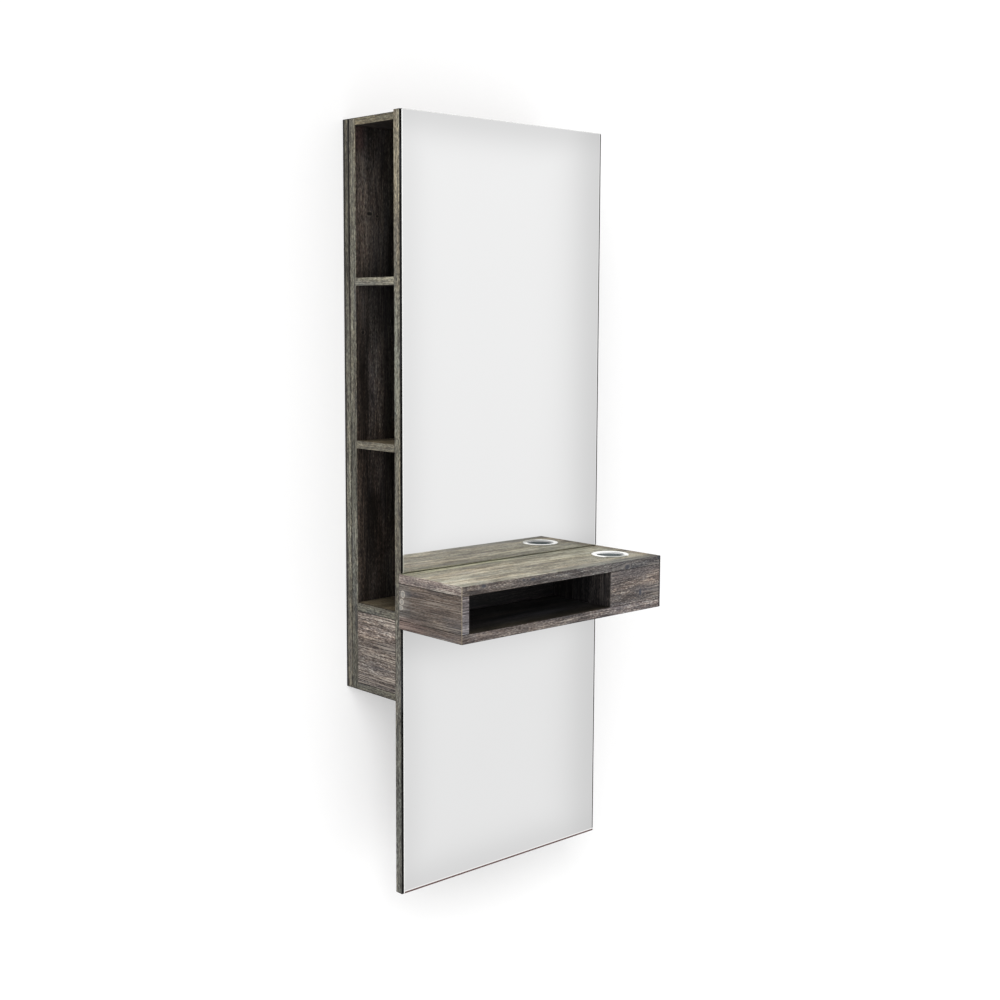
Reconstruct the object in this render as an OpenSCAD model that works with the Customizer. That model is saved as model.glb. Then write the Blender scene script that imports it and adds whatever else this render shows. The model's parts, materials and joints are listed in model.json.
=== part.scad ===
// Wall-mounted styling station: a tall mirror board with shallow side-access shelves behind it
// and a worktop box bolted to its front. X runs to the right as seen from the front, Y runs back
// to the wall and Z runs up. The origin is the centre of the wall fixing holes, on the wall's face.

/* [Boards] */
// Width of the mirror board and of the shelf tower behind it
unit_w = 640; // [560:1:760]
// Thickness of the mirror board, back panel, wall board, plinth and worktop boards
board_t = 22; // [20:1:28]
// Thickness of the shelves, the divider and the tower's top and bottom boards
shelf_t = 18; // [16:1:22]
// Arris taken off the banded edges
arris = 0.8; // [0.2:0.1:1.5]

/* [Mirror board] */
// Height of the mirror board
mirror_h = 1800; // [1700:1:2000]
// Thickness of the mirror glass
glass_t = 5; // [4:0.5:6]
// Thickness of the bonding tape behind the glass
tape_t = 1; // [0.6:0.1:2]
// Width of one strip of bonding tape
tape_w = 25; // [12:1:50]
// Margin of board left bare at the sides and foot of the glass
glass_reveal = 2.5; // [1:0.5:8]
// Gap between the glass and the worktop box
glass_gap = 1; // [0.5:0.5:3]

/* [Shelf tower] */
// Height of the tower's underside above the foot of the mirror board
tower_foot = 459; // [400:1:480]
// Drop from the top of the mirror board to the top of the tower
tower_drop = 5; // [1:1:30]
// Clear depth of the bays between the back panel and the mirror board
bay_depth = 142; // [130:1:220]
// Drop from the top face of the worktop to the top face of the board that closes the plinth
plinth_drop = 90; // [84:1:120]
// Top face of the lower shelves, above the foot of the mirror board
lower_shelf_h = 1055; // [900:1:1150]
// Top face of the upper shelves, above the foot of the mirror board
upper_shelf_h = 1433; // [1250:1:1550]

/* [Wall fixing] */
// Distance from the side of the wall board to its fixing holes
fix_side = 60; // [40:1:70]
// Distance from the top or the bottom of the wall board to its fixing holes
fix_end = 118; // [90:1:140]
// Diameter of the wall fixing holes
fix_d = 8.5; // [6:0.5:10]
// Diameter of the countersink of a wall fixing hole
fix_sink_d = 17; // [14:0.5:20]
// Gap between the wall board and the back panel
wall_gap = 2; // [1:0.5:4]

/* [Hanging rails] */
// Length of a hanging rail
rail_l = 400; // [300:10:440]
// Thickness of the rail metal
rail_t = 3; // [2.5:0.5:4]
// Height of the flat of a rail, up to its bend
rail_flat = 20; // [16:1:30]
// Length of a rail's hook
rail_hook = 12; // [8:1:16]
// Free play of a hook in its slot
rail_play = 0.5; // [0.2:0.1:1]
// Distance from the end of the tower to the nearest hanging rail
rail_inset = 110; // [60:5:180]
// Screws in one hanging rail
rail_screws_n = 4; // [3:1:6]
// Length of a hanging rail's screw
rail_screw_l = 14; // [12:1:16]
// Shank diameter of a hanging rail's screw
rail_screw_d = 4; // [3:0.5:5]

/* [Worktop] */
// Overhang of the worktop box past each side of the mirror board
worktop_overhang = 5; // [0:1:30]
// Depth of the worktop in front of the mirror board
worktop_depth = 218; // [200:1:320]
// Height of the worktop box
worktop_box_h = 128; // [120:1:160]
// Top face of the worktop above the foot of the mirror board
worktop_h = 761; // [755:1:800]
// Clear width of the closed bay that holds the tool holder, right of the open cubby
tool_bay_w = 134; // [110:1:200]

/* [Tool holder] */
// Bore of the tool holder
holder_d = 70; // [60:1:80]
// Wall of the tool holder's tube
holder_wall = 1.5; // [1:0.1:3]
// Diameter of the tool holder's flange
holder_flange_d = 92; // [88:1:104]
// Thickness of the tool holder's flange
holder_flange_t = 2.5; // [2:0.1:4]
// Distance from the worktop's front edge to the tool holder's axis
holder_front = 88; // [76:1:94]
// Gap between the tool holder's tube and the holes that it passes through
holder_fit = 0.3; // [0.1:0.1:1]

/* [Fastenings] */
// Diameter of a wooden dowel
dowel_d = 8; // [6:1:10]
// Length of a wooden dowel
dowel_l = 30; // [24:2:34]
// Depth that a dowel goes into the face of a board
dowel_face = 12; // [9:1:14]
// Distance from the middle of a shelf to each of its dowels
dowel_pitch = 96; // [64:32:128]
// Distance from the middle of the bay's depth to a dowel in a board's end
end_dowel_y = 32; // [20:1:48]
// Glue gap around a dowel
dowel_fit = 0.1; // [0.05:0.05:0.2]
// Diameter of a cam lock
cam_d = 15; // [12:1:20]
// Distance from the edge of a board to the middle of its cam lock
cam_inset = 24; // [24:1:34]
// Shank diameter of a cam bolt
cam_bolt_d = 6; // [5:0.5:7]
// Depth that a cam bolt is screwed into the face of a board
cam_bolt_face = 11; // [9:1:14]
// Gap around a cam lock and its bolt
cam_fit = 0.15; // [0.05:0.05:0.3]
// Shank diameter of a screw that holds up the worktop's base
base_screw_d = 7; // [5:0.5:8]
// Length of a screw that holds up the worktop's base
base_screw_l = 50; // [40:1:55]
// Thread diameter of a worktop bolt
bolt_d = 8; // [6:1:10]
// Distance from the underside of the worktop's top board to the upper row of worktop bolts
bolt_drop = 19; // [16:1:22]
// Distance between the two rows of worktop bolts
bolt_row = 30; // [26:1:32]
// Distance from the middle to the inner worktop bolts
bolt_in = 100; // [60:1:130]
// Distance from a side board of the worktop box to the outer worktop bolts
bolt_side = 53; // [44:1:90]
// Length of a threaded insert
insert_l = 16; // [12:1:18]
// Outer diameter of a threaded insert
insert_d = 12; // [11:0.5:14]

/* [Hidden] */
$fn = 64;
skin = 0.01;            // how far a cutter reaches past the face that it opens

// Depth of each layer, from the wall forwards
wall_front = -board_t;
back_rear = wall_front - wall_gap;
back_front = back_rear - board_t;
board_rear = back_front - bay_depth;
board_front = board_rear - board_t;
glass_rear = board_front - tape_t;
glass_front = glass_rear - glass_t;
worktop_front = board_front - worktop_depth;
bay_mid_y = (back_front + board_rear) / 2;

// Heights, from the origin at the middle of the wall board
fix_h = (tower_foot + mirror_h - tower_drop) / 2;
function up(h) = h - fix_h;
foot_z = up(0);
head_z = up(mirror_h);
tower_z0 = up(tower_foot);
tower_z1 = head_z - tower_drop;
bottom_z1 = tower_z0 + shelf_t;
plinth_z1 = up(worktop_h) - plinth_drop;
plinth_z0 = plinth_z1 - board_t;
lower_z1 = up(lower_shelf_h);
upper_z1 = up(upper_shelf_h);
top_z0 = tower_z1 - shelf_t;
work_z1 = up(worktop_h);
work_z0 = work_z1 - worktop_box_h;
box_z0 = work_z0 + board_t;
box_z1 = work_z1 - board_t;

// Widths
half_w = unit_w / 2;
work_x = half_w + worktop_overhang;
side_x = work_x - board_t;
divider_x1 = side_x - tool_bay_w;
cubby_x1 = divider_x1 - board_t;
half_divider = shelf_t / 2;
bay_mid_x = (half_w + half_divider) / 2;
holder_x = (divider_x1 + side_x) / 2;
holder_y = worktop_front + holder_front;
holder_tube_r = holder_d / 2 + holder_wall;

// Middle heights of the boards that are locked to the back panel and the mirror board
bottom_mid = tower_z0 + shelf_t / 2;
plinth_mid = plinth_z1 - board_t / 2;
lower_mid = lower_z1 - shelf_t / 2;
upper_mid = upper_z1 - shelf_t / 2;
top_mid = tower_z1 - shelf_t / 2;
levels = [bottom_mid, plinth_mid, lower_mid, upper_mid, top_mid];
faces = [back_front, board_rear];
sides = [-1, 1];

// Directions for round pieces, which are drawn along Z
along_x = [0, 90, 0];
along_y = [90, 0, 0];
along_z = [0, 0, 0];

// Each dowel is a centre on the joint's face and a direction
end_ys = [bay_mid_y - end_dowel_y, bay_mid_y + end_dowel_y];
function face_dowels(z, s) =
    [for (y = faces, side = s, k = sides) [[side * bay_mid_x + k * dowel_pitch, seat_y(y), z], along_y]];
// A dowel stands dowel_face deep in the face board, so its middle lies a little inside the bay
function seat_y(y) = y + (y == back_front ? -1 : 1) * (dowel_l / 2 - dowel_face);
bay_mids = [(plinth_z1 + lower_z1 - shelf_t) / 2, (lower_z1 + upper_z1 - shelf_t) / 2, (upper_z1 + top_z0) / 2];
divider_dowels = concat(
    [for (z = bay_mids, y = faces) [[0, seat_y(y), z], along_y]],
    [for (y = end_ys) [[0, y, plinth_z1 - dowel_face + dowel_l / 2], along_z]],
    [for (y = end_ys) [[0, y, top_z0 + dowel_face - dowel_l / 2], along_z]]
);
function plinth_dowels(s) = concat(
    [for (side = s, y = end_ys) [[side * (half_w - board_t / 2), y, bottom_z1 - dowel_face + dowel_l / 2], along_z]],
    [for (side = s, y = end_ys) [[side * (half_w - board_t / 2), y, plinth_z0 + dowel_face - dowel_l / 2], along_z]]
);
carcass_dowel_list = concat(
    [for (z = levels) each face_dowels(z, sides)], divider_dowels, plinth_dowels(sides));

// Cam locks open downwards, except in the bottom board, where they open up into the plinth
function cam_opens_up(z) = z == bottom_mid;
function cam_board_t(z) = z == plinth_mid ? board_t : shelf_t;
function cam_y(y) = y + (y == back_front ? -1 : 1) * cam_inset;
cam_cavity = cam_d * 0.36;
cam_neck_d = cam_bolt_d * 0.75;
cam_head_l = 3;

// Joints of the worktop box: a dowel into the top and a screw through the base at each
joint_inset = 28;       // from the ends of a board to its first joint
box_mid_z = (box_z0 + box_z1) / 2;
back_mid_y = board_front - board_t / 2;
panel_mid_y = worktop_front + board_t / 2;
panel_rear = worktop_front + board_t;
inner_front = board_front - board_t;
box_joints = concat(
    [for (x = [-work_x + board_t / 2], y = [worktop_front + joint_inset, inner_front - joint_inset]) [x, y]],
    [for (x = [work_x - board_t / 2, cubby_x1 + board_t / 2],
          y = [panel_rear + joint_inset, inner_front - joint_inset]) [x, y]],
    [for (x = [-side_x + joint_inset, 0, side_x - joint_inset]) [x, back_mid_y]],
    [for (x = [divider_x1 + joint_inset, side_x - joint_inset]) [x, panel_mid_y]]
);
box_dowel_rise = 20;    // from the middle of the box to its level dowels
worktop_dowel_list = concat(
    [for (p = box_joints) [[p.x, p.y, box_z1 + dowel_face - dowel_l / 2], along_z]],
    [for (s = sides, k = sides) [[s * (side_x + dowel_face - dowel_l / 2), back_mid_y,
        box_mid_z + k * box_dowel_rise], along_x]],
    [for (k = sides) [[cubby_x1 + board_t / 2, inner_front + dowel_face - dowel_l / 2,
        box_mid_z + k * box_dowel_rise], along_y]],
    [for (x = [cubby_x1 + board_t / 2, work_x - board_t / 2], k = sides) [[x,
        panel_rear - dowel_face + dowel_l / 2, box_mid_z + k * box_dowel_rise], along_y]]
);

// Worktop bolts run through the mirror board into inserts in the worktop's back board
bolt_out = side_x - bolt_side;
bolt_points = [for (x = [-bolt_out, -bolt_in, bolt_in, bolt_out], k = [0, 1])
    [x, box_z1 - bolt_drop - k * bolt_row]];
washer_t = 1.6;
washer_d = 2.5 * bolt_d;
bolt_head_d = 1.75 * bolt_d;
bolt_head_h = 0.6 * bolt_d;
bolt_hole_gap = 0.5;
thread_gap = 0.05;
bolt_end = 2;           // from a bolt's tip to the end of its insert

// Hanging rails: two equal hooked strips face each other and interlock
rail_room = 2 * rail_t + 2 * rail_play;
rail_groove = (rail_room - wall_gap) / 2;
rail_bend = (sqrt(2) - 1) * rail_t;
rail_tip = rail_flat + rail_t + rail_play + rail_hook;
rail_seat = rail_flat + rail_play + sqrt(2) * rail_t + thread_gap;
rail_span = rail_seat + rail_tip;
rail_floor = wall_front + rail_groove;
rail_lift = rail_hook + 3;
rail_zs = [tower_z0 + rail_inset, tower_z1 - rail_inset - rail_span];
rail_screw_z = rail_flat / 2;
rail_screw_xs = [for (i = [0 : rail_screws_n - 1]) (i / (rail_screws_n - 1) - 0.5) * (rail_l - 2 * rail_flat)];
rail_side = 1;          // from the end of a rail to the end of its groove

wood = [0.42, 0.38, 0.33];
edge_wood = [0.50, 0.48, 0.42];
dark_wood = [0.24, 0.21, 0.19];
steel = [0.72, 0.73, 0.75];

// Outline of a board's section with its arrises taken off
function arrised(w, h) = [
    [arris, 0], [w - arris, 0], [w, arris], [w, h - arris],
    [w - arris, h], [arris, h], [0, h - arris], [0, arris]
];

// A board between two corners, with the arrises of the four edges that run along one axis off
module board(low, high, run) {
    size = high - low;
    translate(low)
        if (run == "x") rotate([90, 0, 90]) linear_extrude(size.x) polygon(arrised(size.y, size.z));
        else if (run == "y") translate([0, size.y, 0]) rotate([90, 0, 0])
            linear_extrude(size.y) polygon(arrised(size.x, size.z));
        else linear_extrude(size.z) polygon(arrised(size.x, size.y));
}

// Dowels have a small cone at each end, and their holes are a glue gap wider and deeper
module dowels(list) {
    cone = dowel_d / 8;
    for (d = list) translate(d[0]) rotate(d[1]) {
        cylinder(d = dowel_d, h = dowel_l - 2 * cone, center = true);
        for (k = [0, 1]) mirror([0, 0, k]) translate([0, 0, dowel_l / 2 - cone])
            cylinder(d1 = dowel_d, d2 = dowel_d - 2 * cone, h = cone);
    }
}

module dowel_holes(list) {
    for (d = list) translate(d[0]) rotate(d[1])
        cylinder(d = dowel_d + 2 * dowel_fit, h = dowel_l + 2 * dowel_fit, center = true);
}

// Cam lock places at one level: [x, joint face, height]
function cam_places(z, s) = [for (y = faces, side = s) [side * bay_mid_x, y, z]];

module at_cam(p) {
    t = cam_board_t(p.z);
    translate([p.x, cam_y(p.y), p.z]) mirror([0, 0, cam_opens_up(p.z) ? 1 : 0])
        mirror([0, p.y == back_front ? 0 : 1, 0]) translate([0, 0, -t / 2]) children();
}

// Pocket for a cam lock and the drilling for its bolt, seen from the edge of the board
module cam_pockets(places) {
    for (p = places) at_cam(p) {
        t = cam_board_t(p.z);
        translate([0, 0, -skin])
            cylinder(d = cam_d + 2 * cam_fit, h = cam_h(p.z) + cam_fit + skin);
        translate([0, cam_inset + skin, t / 2]) rotate(along_y)
            cylinder(d = dowel_d, h = cam_inset + skin);
    }
}
function cam_h(z) = cam_board_t(z) / 2 + dowel_d / 2 - 0.5;

// Blind hole in the face of the back panel or the mirror board for a cam bolt
module cam_bolt_holes(y) {
    for (z = levels, s = sides) translate([s * bay_mid_x, y, z])
        mirror([0, y == back_front ? 0 : 1, 0]) translate([0, cam_bolt_face + cam_fit, 0]) rotate(along_y)
            cylinder(d = cam_bolt_d + 2 * cam_fit, h = cam_bolt_face + cam_fit + skin);
}

// Rail section: a flat strip, bent out at 45 degrees and up again into a hook
module rail_strip() {
    hook_out = rail_t + rail_play;
    rotate([90, 0, 90]) linear_extrude(rail_l, center = true) polygon([
        [0, 0], [-rail_t, 0], [-rail_t, rail_flat],
        [-rail_t - hook_out, rail_flat + hook_out], [-rail_t - hook_out, rail_tip],
        [-hook_out, rail_tip], [-hook_out, rail_flat + rail_bend + hook_out], [0, rail_flat + rail_bend]
    ]);
}

// Countersunk screw along -Y into the board behind, with its head flush in the rail
module rail_screw(gap = 0) {
    head_d = 2 * rail_screw_d;
    rotate([-90, 0, 0]) {
        cylinder(d = rail_screw_d + 2 * gap, h = rail_screw_l + gap);
        cylinder(d1 = head_d + 2 * gap, d2 = rail_screw_d + 2 * gap, h = rail_t);
    }
}

// One rail on the wall board at each height, with its screw holes
module wall_rail(z) {
    difference() {
        translate([0, rail_floor, z]) rail_strip();
        for (x = rail_screw_xs) translate([x, rail_floor - rail_t - skin, z + rail_screw_z])
            rail_screw(thread_gap);
    }
}

// The rail on the back panel is the same strip turned over
module turned_over(z) {
    translate([0, rail_floor - rail_room, z + rail_span]) rotate([180, 0, 0]) children();
}

module wall_board() {
    color(edge_wood)
    difference() {
        board([-half_w, wall_front, tower_z0], [half_w, 0, tower_z1], "z");
        for (x = [fix_side - half_w, half_w - fix_side], z = [tower_z0 + fix_end, tower_z1 - fix_end])
            translate([x, 0, z]) rotate(along_y) {
                translate([0, 0, -skin]) cylinder(d = fix_d, h = board_t + 2 * skin);
                translate([0, 0, board_t - (fix_sink_d - fix_d) / 2])
                    cylinder(d1 = fix_d, d2 = fix_sink_d, h = (fix_sink_d - fix_d) / 2 + skin);
            }
        for (z = rail_zs) {
            translate([-rail_l / 2 - rail_side, wall_front - skin, z - rail_side])
                cube([rail_l + 2 * rail_side, rail_groove + skin, rail_span + rail_lift + rail_side]);
            for (x = rail_screw_xs) translate([x, rail_floor - rail_t, z + rail_screw_z])
                rail_screw(thread_gap);
        }
    }
}

module wall_rails() {
    color(steel) for (z = rail_zs) wall_rail(z);
}

module unit_rails() {
    color(steel)
    for (z = rail_zs) turned_over(z) difference() {
        rail_strip();
        for (x = rail_screw_xs) translate([x, -rail_t - skin, rail_screw_z]) rail_screw(thread_gap);
    }
}

module rail_screws() {
    color(steel)
    for (z = rail_zs, x = rail_screw_xs) {
        translate([x, rail_floor - rail_t, z + rail_screw_z]) rail_screw();
        turned_over(z) translate([x, -rail_t, rail_screw_z]) rail_screw();
    }
}

module back_panel() {
    color(dark_wood)
    difference() {
        board([-half_w, back_front, tower_z0], [half_w, back_rear, tower_z1], "z");
        dowel_holes([for (z = levels) each face_dowels(z, sides)]);
        dowel_holes(divider_dowels);
        cam_bolt_holes(back_front);
        for (z = rail_zs) {
            translate([-rail_l / 2 - rail_side, back_rear - rail_groove, z - rail_lift])
                cube([rail_l + 2 * rail_side, rail_groove + skin, rail_span + rail_lift + rail_side]);
            turned_over(z) for (x = rail_screw_xs) translate([x, -rail_t, rail_screw_z])
                rail_screw(thread_gap);
        }
    }
}

// A board that spans the tower, locked to the back panel and the mirror board
module span_board(z0, z1, mid) {
    difference() {
        board([-half_w, board_rear, z0], [half_w, back_front, z1], "y");
        dowel_holes(face_dowels(mid, sides));
        cam_pockets(cam_places(mid, sides));
        children();
    }
}

module top_panel() {
    color(edge_wood) span_board(top_z0, tower_z1, top_mid) dowel_holes(divider_dowels);
}

module bottom_panel() {
    color(edge_wood) span_board(tower_z0, bottom_z1, bottom_mid) dowel_holes(plinth_dowels(sides));
}

module plinth_top() {
    color(edge_wood) span_board(plinth_z0, plinth_z1, plinth_mid)
        dowel_holes(concat(divider_dowels, plinth_dowels(sides)));
}

module centre_divider() {
    color(dark_wood)
    difference() {
        board([-half_divider, board_rear, plinth_z1], [half_divider, back_front, top_z0], "z");
        dowel_holes(divider_dowels);
    }
}

module shelf(side, z1, mid) {
    x0 = side < 0 ? -half_w : half_divider;
    color(edge_wood)
    difference() {
        board([x0, board_rear, z1 - shelf_t], [x0 + half_w - half_divider, back_front, z1], "y");
        dowel_holes(face_dowels(mid, [side]));
        cam_pockets(cam_places(mid, [side]));
    }
}
module left_upper_shelf() { shelf(-1, upper_z1, upper_mid); }
module left_lower_shelf() { shelf(-1, lower_z1, lower_mid); }
module right_upper_shelf() { shelf(1, upper_z1, upper_mid); }
module right_lower_shelf() { shelf(1, lower_z1, lower_mid); }

module plinth_panel(side) {
    x0 = side < 0 ? -half_w : half_w - board_t;
    color(wood)
    difference() {
        board([x0, board_rear, bottom_z1], [x0 + board_t, back_front, plinth_z0], "z");
        dowel_holes(plinth_dowels([side]));
    }
}
module left_plinth_panel() { plinth_panel(-1); }
module right_plinth_panel() { plinth_panel(1); }

module mirror_board() {
    color(edge_wood)
    difference() {
        board([-half_w, board_front, foot_z], [half_w, board_rear, head_z], "z");
        dowel_holes([for (z = levels) each face_dowels(z, sides)]);
        dowel_holes(divider_dowels);
        cam_bolt_holes(board_rear);
        for (p = bolt_points) translate([p.x, board_rear + skin, p.y]) rotate(along_y)
            cylinder(d = bolt_d + 2 * bolt_hole_gap, h = board_t + 2 * skin);
    }
}

// A pane of mirror glass with its polished arrises
module pane(z0, z1) {
    color([0.86, 0.88, 0.90])
    board([-half_w + glass_reveal, glass_front, z0], [half_w - glass_reveal, glass_rear, z1], "z");
}
// The upper pane runs up flush with the top of the mirror board
module upper_mirror() { pane(work_z1 + glass_gap, head_z); }
module lower_mirror() { pane(foot_z + glass_reveal, work_z0 - glass_gap); }

// Upright strips of bonding tape behind each pane
module mirror_tape() {
    edge = half_w - glass_reveal - tape_w;
    spans = [[work_z1 + glass_gap, head_z], [foot_z + glass_reveal, work_z0 - glass_gap]];
    color([0.10, 0.10, 0.11])
    for (x = [-edge, -edge / 2, 0, edge / 2, edge], s = spans)
        translate([x - tape_w / 2, glass_rear, s[0] + tape_w])
            cube([tape_w, tape_t, s[1] - s[0] - 2 * tape_w]);
}

// Holes in the top and base that the tool holder's tube passes through
module holder_hole(z0, z1) {
    translate([holder_x, holder_y, z0 - skin])
        cylinder(r = holder_tube_r + holder_fit, h = z1 - z0 + 2 * skin);
}

module worktop_top() {
    color(wood)
    difference() {
        board([-work_x, worktop_front, box_z1], [work_x, board_front, work_z1], "x");
        dowel_holes(worktop_dowel_list);
        holder_hole(box_z1, work_z1);
    }
}

// Screw up through the worktop's base, with a cone head flush in its underside
module base_screw(p, gap = 0) {
    head_d = 1.45 * base_screw_d;
    translate([p.x, p.y, work_z0]) {
        cylinder(d = base_screw_d + 2 * gap, h = base_screw_l + gap);
        cylinder(d1 = head_d + 2 * gap, d2 = base_screw_d + 2 * gap, h = (head_d - base_screw_d) / 2 + 1);
    }
}

module base_screw_holes() {
    for (p = box_joints) {
        base_screw(p, thread_gap);
        translate([p.x, p.y, work_z0 - skin]) cylinder(d = 1.45 * base_screw_d + 2 * thread_gap, h = 2 * skin);
    }
}

module worktop_base() {
    color(wood)
    difference() {
        board([-work_x, worktop_front, work_z0], [work_x, board_front, box_z0], "x");
        base_screw_holes();
        holder_hole(work_z0, box_z0);
    }
}

// An upright board of the worktop box, between its top and base
module box_board(x0, x1, y0, y1, run) {
    color(wood)
    difference() {
        board([x0, y0, box_z0], [x1, y1, box_z1], run);
        dowel_holes(worktop_dowel_list);
        for (p = box_joints) base_screw(p, thread_gap);
    }
}
module worktop_left_side() { box_board(-work_x, -side_x, worktop_front, board_front, "z"); }
module worktop_right_side() { box_board(side_x, work_x, panel_rear, board_front, "z"); }
module worktop_divider() { box_board(cubby_x1, divider_x1, panel_rear, inner_front, "z"); }
module worktop_front_panel() { box_board(cubby_x1, work_x, worktop_front, panel_rear, "z"); }
module worktop_back() {
    difference() {
        box_board(-side_x, side_x, inner_front, board_front, "z");
        for (p = bolt_points) translate([p.x, board_front + skin, p.y]) rotate(along_y)
            cylinder(d = insert_d + 2 * thread_gap, h = insert_l + thread_gap + skin);
    }
}

// Spun steel tube with a rolled flange that rests on the worktop
module tool_holder() {
    lip = holder_flange_t / 2;
    color(steel)
    translate([holder_x, holder_y, work_z0])
    rotate_extrude($fn = 96) {
        translate([holder_d / 2, 0]) square([holder_wall, worktop_box_h + lip]);
        translate([holder_d / 2 + lip, worktop_box_h])
            square([(holder_flange_d - holder_d) / 2 - 2 * lip, holder_flange_t]);
        translate([holder_d / 2, worktop_box_h]) square([2 * lip, lip]);
        translate([holder_flange_d / 2 - lip, worktop_box_h + lip]) circle(lip, $fn = 32);
        translate([holder_d / 2 + lip, worktop_box_h + lip]) circle(lip, $fn = 32);
    }
}

module carcass_dowels() {
    color([0.80, 0.66, 0.45]) dowels(carcass_dowel_list);
}

// Cam lock: a round body with a hollow for the bolt's head, a mouth for its neck and a cross slot
module cam_lock(z) {
    t = cam_board_t(z);
    slot_l = cam_d * 0.6;
    slot_w = cam_d * 0.12;
    slot_h = 2;
    mouth = dowel_d - 0.8;
    difference() {
        cylinder(d = cam_d, h = cam_h(z));
        translate([0, 0, t / 2 - mouth / 2]) cylinder(r = cam_cavity, h = mouth);
        translate([-cam_neck_d / 2 - cam_fit, 0, t / 2 - mouth / 2])
            cube([cam_neck_d + 2 * cam_fit, cam_d, mouth]);
        for (turn = [0, 90]) rotate([0, 0, turn]) translate([-slot_l / 2, -slot_w / 2, -skin])
            cube([slot_l, slot_w, slot_h]);
    }
}

module cam_locks() {
    color(steel)
    for (z = levels, p = cam_places(z, sides)) at_cam(p) cam_lock(p.z);
}

// Cam bolt: screwed into the face board, with its neck and head reaching into the cam lock
module cam_bolts() {
    head_y = cam_inset - sqrt(pow(cam_cavity, 2) - pow(cam_bolt_d / 2, 2)) + cam_fit;
    color(steel)
    for (z = levels, p = cam_places(z, sides)) translate(p)
        mirror([0, p.y == back_front ? 0 : 1, 0]) rotate(along_y) {
            translate([0, 0, -cam_bolt_face]) cylinder(d = cam_bolt_d, h = cam_bolt_face + 2);
            cylinder(d = cam_neck_d, h = head_y + 1);
            translate([0, 0, head_y]) cylinder(d = cam_bolt_d, h = cam_head_l);
        }
}

module worktop_dowels() {
    color([0.80, 0.66, 0.45]) dowels(worktop_dowel_list);
}

module base_screws() {
    color(steel) for (p = box_joints) difference() {
        base_screw(p);
        translate([p.x, p.y, work_z0 - skin]) cylinder(d = base_screw_d * 0.6, h = 2.5, $fn = 6);
    }
}

// Worktop bolt with a hexagon socket, its head in the lowest bay
module worktop_bolts() {
    shank = washer_t + board_t + insert_l - bolt_end;
    color(steel)
    for (p = bolt_points) translate([p.x, board_rear + washer_t, p.y]) rotate(along_y) difference() {
        union() {
            cylinder(d = bolt_d, h = shank);
            translate([0, 0, -bolt_head_h]) cylinder(d = bolt_head_d, h = bolt_head_h);
        }
        translate([0, 0, -bolt_head_h - skin]) cylinder(d = bolt_d * 0.7, h = bolt_head_h * 0.7, $fn = 6);
    }
}

module bolt_washers() {
    color(steel)
    for (p = bolt_points) translate([p.x, board_rear + washer_t, p.y]) rotate(along_y) difference() {
        cylinder(d = washer_d, h = washer_t);
        translate([0, 0, -skin]) cylinder(d = bolt_d + bolt_hole_gap, h = washer_t + 2 * skin);
    }
}

module threaded_inserts() {
    color([0.78, 0.70, 0.45])
    for (p = bolt_points) translate([p.x, board_front, p.y]) rotate(along_y) difference() {
        cylinder(d = insert_d, h = insert_l);
        translate([0, 0, -skin]) cylinder(d = bolt_d + 2 * thread_gap, h = insert_l + 2 * skin);
    }
}

wall_board();
wall_rails();
unit_rails();
rail_screws();
back_panel();
top_panel();
bottom_panel();
plinth_top();
centre_divider();
left_upper_shelf();
left_lower_shelf();
right_upper_shelf();
right_lower_shelf();
left_plinth_panel();
right_plinth_panel();
mirror_board();
upper_mirror();
lower_mirror();
mirror_tape();
worktop_top();
worktop_base();
worktop_left_side();
worktop_right_side();
worktop_back();
worktop_divider();
worktop_front_panel();
tool_holder();
carcass_dowels();
cam_locks();
cam_bolts();
worktop_dowels();
base_screws();
worktop_bolts();
bolt_washers();
threaded_inserts();
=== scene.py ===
# %% [markdown]
# # A wall-hung styling station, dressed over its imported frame
# The real object is a tall mirror on a board, with shallow shelf bays hidden behind it and a box
# worktop that carries a cubby and a steel ring for a hot tool. Nearly all of it is faced board with
# a weathered wood print, so most of this lesson is about boards: how to round their arrises and
# how to write one wood finish that can be turned to any face.

import json
from math import cos, pi, radians, sin

import bmesh
import bpy
from mathutils import Matrix, Vector


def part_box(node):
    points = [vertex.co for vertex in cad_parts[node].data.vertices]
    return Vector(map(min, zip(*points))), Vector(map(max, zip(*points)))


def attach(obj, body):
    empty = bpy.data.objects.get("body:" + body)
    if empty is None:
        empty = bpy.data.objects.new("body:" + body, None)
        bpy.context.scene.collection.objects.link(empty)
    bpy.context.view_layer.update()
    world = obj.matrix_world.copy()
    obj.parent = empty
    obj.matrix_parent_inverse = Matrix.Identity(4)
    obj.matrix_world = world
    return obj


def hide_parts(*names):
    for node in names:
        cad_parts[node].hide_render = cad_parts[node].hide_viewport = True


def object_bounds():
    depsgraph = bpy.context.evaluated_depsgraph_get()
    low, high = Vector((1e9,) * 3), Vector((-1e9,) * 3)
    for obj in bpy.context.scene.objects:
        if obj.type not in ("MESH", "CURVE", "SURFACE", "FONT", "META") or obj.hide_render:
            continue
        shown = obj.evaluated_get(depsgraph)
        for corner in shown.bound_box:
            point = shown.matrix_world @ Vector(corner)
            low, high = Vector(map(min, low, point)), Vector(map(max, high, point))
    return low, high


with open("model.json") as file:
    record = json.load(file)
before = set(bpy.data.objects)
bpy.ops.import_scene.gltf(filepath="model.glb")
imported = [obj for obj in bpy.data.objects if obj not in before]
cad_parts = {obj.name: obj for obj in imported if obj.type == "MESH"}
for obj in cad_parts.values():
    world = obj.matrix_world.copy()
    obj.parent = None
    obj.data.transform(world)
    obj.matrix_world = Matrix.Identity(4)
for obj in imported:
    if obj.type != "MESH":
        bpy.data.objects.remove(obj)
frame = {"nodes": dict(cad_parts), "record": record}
cad_low, cad_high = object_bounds()
print("CAD box", [round(v, 4) for v in (*cad_low, *cad_high)])

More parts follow.
